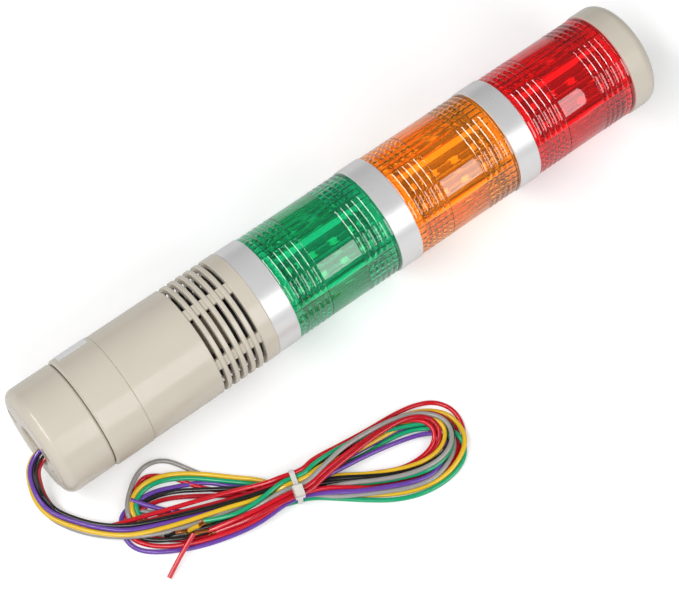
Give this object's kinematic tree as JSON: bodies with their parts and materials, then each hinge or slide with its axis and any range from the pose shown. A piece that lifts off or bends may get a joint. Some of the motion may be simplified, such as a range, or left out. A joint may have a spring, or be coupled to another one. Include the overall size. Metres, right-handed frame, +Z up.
{
  "type": "stack light",
  "caption": "Signal tower lying on its side: round foot, collar, slotted sounder housing, green, amber and red ribbed lenses between silver rings, a rounded cap and a tied hank of coloured leads.",
  "frame": {"origin": "on the surface that the tower lies on, under the middle of the tower's length", "axes": "+X along the tower from the foot's mounting face to the cap, +Z up, the leads lie on the -Y side"},
  "size_m": [0.3215, 0.1305, 0.0504],
  "materials": {
    "ivory_abs": "moulded, fine satin texture",
    "label_film": "blank film",
    "plated_steel": "zinc plated",
    "black_rubber": "moulded",
    "circuit_board": "solder mask",
    "component_black": "moulded",
    "tan_bracket": "moulded",
    "sounder_black": "moulded",
    "silver_finish": "satin silver paint on moulded plastic",
    "green_lens": "clear tinted, ribbed outside and fluted inside",
    "amber_lens": "clear tinted, ribbed outside and fluted inside",
    "red_lens": "clear tinted, ribbed outside and fluted inside",
    "white_carrier": "moulded",
    "white_board": "white solder mask",
    "led_resin": "clear resin",
    "lead_insulation": "extruded insulation",
    "natural_nylon": "moulded, slightly translucent",
    "red_insulation": "extruded insulation",
    "black_insulation": "extruded insulation",
    "yellow_insulation": "extruded insulation",
    "green_insulation": "extruded insulation",
    "purple_insulation": "extruded insulation",
    "grey_insulation": "extruded insulation"
  },
  "bodies": {
    "tower": {"base_collar": "ivory_abs", "sounder_housing": "ivory_abs", "rating_plate": "label_film", "collar_screws": "plated_steel", "wire_grommet": "black_rubber", "control_board": "circuit_board", "board_components": "component_black", "sounder_bracket": "tan_bracket", "sounder": "sounder_black", "top_seat": "silver_finish", "cap_seal": "black_rubber", "tie_rod": "plated_steel", "rod_nuts": "plated_steel", "rod_washers": "plated_steel", "wire_hank": "lead_insulation", "cable_tie": "natural_nylon", "stripped_tail": "red_insulation", "silver_ring_1": "silver_finish", "green_lens": "green_lens", "led_column_green": "white_carrier", "led_boards_green": "white_board", "led_chips_green": "led_resin", "silver_ring_2": "silver_finish", "amber_lens": "amber_lens", "led_column_amber": "white_carrier", "led_boards_amber": "white_board", "led_chips_amber": "led_resin", "silver_ring_3": "silver_finish", "red_lens": "red_lens", "led_column_red": "white_carrier", "led_boards_red": "white_board", "led_chips_red": "led_resin", "lead_red": "red_insulation", "lead_red_common": "red_insulation", "lead_black": "black_insulation", "lead_yellow": "yellow_insulation", "lead_green": "green_insulation", "lead_purple": "purple_insulation", "lead_grey": "grey_insulation"},
    "foot": {"mounting_foot": "ivory_abs"},
    "cap": {"top_cap": "ivory_abs"}
  },
  "joints": [
    {"name": "foot_twist", "type": "hinge", "parent": "tower", "child": "foot", "pos_m": [-0.1299, 0, 0.0252], "axis": [1, 0, 0], "range_deg": [0, 30]},
    {"name": "cap_twist", "type": "hinge", "parent": "tower", "child": "cap", "pos_m": [0.1479, 0, 0.0252], "axis": [1, 0, 0], "range_deg": [0, 30]}
  ]
}
